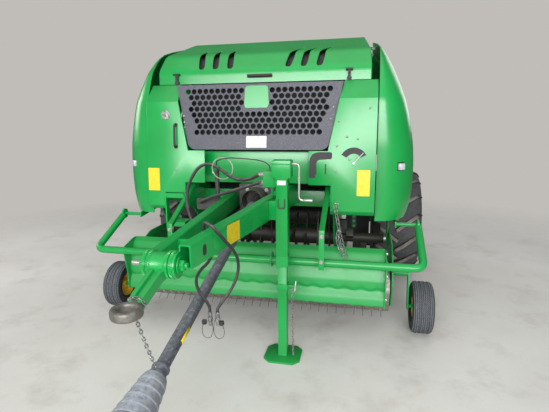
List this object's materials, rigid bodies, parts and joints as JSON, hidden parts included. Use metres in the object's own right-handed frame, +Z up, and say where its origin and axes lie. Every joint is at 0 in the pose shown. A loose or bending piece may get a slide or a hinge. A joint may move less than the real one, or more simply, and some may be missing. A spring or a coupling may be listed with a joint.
{
  "type": "round baler, fixed chamber, towed",
  "caption": "Towed fixed-chamber round baler: tined pickup, feed rotor, roller chamber, lifting tailgate, gull-wing shields, drawbar with eye, drive shaft and parking jack.",
  "frame": {"origin": "on the floor, midway along the machine and across it", "axes": "+Y from the towing eye towards the tailgate, +X to the right seen from the front, +Z up"},
  "size_m": [2.8996, 4.5, 2.447],
  "materials": {
    "green_paint": "gloss machine paint, dusty in corners",
    "black_paint": "satin",
    "black_plastic": "matt, weathered",
    "bare_steel": "worn, lightly rusted",
    "yellow_paint": "gloss",
    "tyre": "matt, dusty",
    "hose_rubber": "matt, dusty",
    "clear_lamp": "clear lens over a reflector",
    "red_lamp": "moulded lens"
  },
  "bodies": {
    "chassis": {"side_wall_left": "green_paint", "side_wall_right": "green_paint", "front_frame": "green_paint", "front_shell": "black_paint", "front_rollers": "bare_steel", "rotor_stubs": "bare_steel", "drawbar": "green_paint", "hitch": "green_paint", "gearbox": "black_paint", "axle": "green_paint", "front_panels": "green_paint", "grille": "black_plastic", "jack_tube": "green_paint", "drive_guard": "black_plastic", "bale_ramp": "green_paint", "steps": "green_paint", "hose_post": "green_paint", "hose_loop": "hose_rubber", "hose_drop": "hose_rubber", "hose_left": "hose_rubber", "hose_right": "hose_rubber", "signal_cable": "hose_rubber", "couplers": "bare_steel", "hitch_chain": "bare_steel"},
    "jack_leg": {"jack_leg": "green_paint"},
    "jack_crank": {"jack_crank": "bare_steel"},
    "drive_shaft": {"drive_shaft": "bare_steel"},
    "hood": {"hood": "green_paint"},
    "shield_left": {"shield_left": "green_paint", "lamp_left": "clear_lamp"},
    "shield_right": {"shield_right": "green_paint", "lamp_right": "clear_lamp"},
    "gate": {"gate_walls": "green_paint", "gate_shell": "green_paint", "gate_rollers": "bare_steel", "gate_cover_left": "green_paint", "gate_cover_right": "green_paint", "rear_lamps": "red_lamp"},
    "barrel_left": {"barrel_left": "black_paint"},
    "barrel_right": {"barrel_right": "black_paint"},
    "rod_left": {"rod_left": "bare_steel"},
    "rod_right": {"rod_right": "bare_steel"},
    "rotor": {"rotor": "green_paint"},
    "pickup": {"pickup_frame": "green_paint", "pickup_bands": "green_paint", "gauge_arms": "green_paint"},
    "reel": {"reel": "black_paint"},
    "windguard": {"windguard": "green_paint", "guard_bar": "green_paint"},
    "gauge_left": {"gauge_tyre_left": "tyre", "gauge_rim_left": "yellow_paint"},
    "gauge_right": {"gauge_tyre_right": "tyre", "gauge_rim_right": "yellow_paint"},
    "wheel_left": {"tyre_left": "tyre", "rim_left": "yellow_paint"},
    "wheel_right": {"tyre_right": "tyre", "rim_right": "yellow_paint"}
  },
  "joints": [
    {"name": "wheel_left_spin", "type": "hinge", "parent": "chassis", "child": "wheel_left", "pos_m": [-1.2, 1.4, 0.585], "axis": [1, 0, 0], "continuous": true},
    {"name": "wheel_right_spin", "type": "hinge", "parent": "chassis", "child": "wheel_right", "pos_m": [1.2, 1.4, 0.585], "axis": [1, 0, 0], "continuous": true},
    {"name": "rotor_spin", "type": "hinge", "parent": "chassis", "child": "rotor", "pos_m": [0, 0.48, 0.6], "axis": [1, 0, 0], "continuous": true},
    {"name": "drive_spin", "type": "hinge", "parent": "chassis", "child": "drive_shaft", "pos_m": [0, -2.24114, 0.51624], "axis": [0, -0.9655, -0.2605], "continuous": true},
    {"name": "pickup_lift", "type": "hinge", "parent": "chassis", "child": "pickup", "pos_m": [0, 0.48, 0.6], "axis": [-1, 0, 0], "range_deg": [0, 16]},
    {"name": "reel_spin", "type": "hinge", "parent": "pickup", "child": "reel", "pos_m": [0, -0.02, 0.34], "axis": [1, 0, 0], "continuous": true},
    {"name": "gauge_left_spin", "type": "hinge", "parent": "pickup", "child": "gauge_left", "pos_m": [-1.33, -0.1, 0.207], "axis": [1, 0, 0], "continuous": true},
    {"name": "gauge_right_spin", "type": "hinge", "parent": "pickup", "child": "gauge_right", "pos_m": [1.33, -0.1, 0.207], "axis": [1, 0, 0], "continuous": true},
    {"name": "windguard_lift", "type": "hinge", "parent": "chassis", "child": "windguard", "pos_m": [0, -0.05, 0.87], "axis": [-1, 0, 0], "range_deg": [-3, 18]},
    {"name": "hood_open", "type": "hinge", "parent": "chassis", "child": "hood", "pos_m": [0, 0.79, 2.396], "axis": [-1, 0, 0], "range_deg": [0, 50]},
    {"name": "shield_left_open", "type": "hinge", "parent": "chassis", "child": "shield_left", "pos_m": [-0.872, 0, 2.316], "axis": [0, 1, 0], "range_deg": [0, 75]},
    {"name": "shield_right_open", "type": "hinge", "parent": "chassis", "child": "shield_right", "pos_m": [0.872, 0, 2.316], "axis": [0, -1, 0], "range_deg": [0, 75]},
    {"name": "gate_lift", "type": "hinge", "parent": "chassis", "child": "gate", "pos_m": [0, 1.07, 2.407], "axis": [1, 0, 0], "range_deg": [0, 60]},
    {"name": "barrel_left_tilt", "type": "hinge", "parent": "chassis", "child": "barrel_left", "pos_m": [-0.672, 0.88, 1], "axis": [1, 0, 0], "range_deg": [-1, 12]},
    {"name": "barrel_right_tilt", "type": "hinge", "parent": "chassis", "child": "barrel_right", "pos_m": [0.672, 0.88, 1], "axis": [1, 0, 0], "range_deg": [-1, 12]},
    {"name": "rod_left_slide", "type": "slide", "parent": "barrel_left", "child": "rod_left", "axis": [0, 0.5433, 0.8396], "range_m": [-0.01, 0.58505]},
    {"name": "rod_right_slide", "type": "slide", "parent": "barrel_right", "child": "rod_right", "axis": [0, 0.5433, 0.8396], "range_m": [-0.01, 0.58505]},
    {"name": "jack_slide", "type": "slide", "parent": "chassis", "child": "jack_leg", "axis": [0, 0, 1], "range_m": [-0.15, 0.12]},
    {"name": "jack_crank_turn", "type": "hinge", "parent": "chassis", "child": "jack_crank", "pos_m": [0.4, -0.667, 1.4], "axis": [1, 0, 0], "continuous": true}
  ],
  "couplings": [
    {"joint": "barrel_left_tilt", "follows": "gate_lift", "ratio": 0.12959},
    {"joint": "rod_left_slide", "follows": "gate_lift", "m_per_rad": 0.54913},
    {"joint": "barrel_right_tilt", "follows": "gate_lift", "ratio": 0.12959},
    {"joint": "rod_right_slide", "follows": "gate_lift", "m_per_rad": 0.54913}
  ]
}
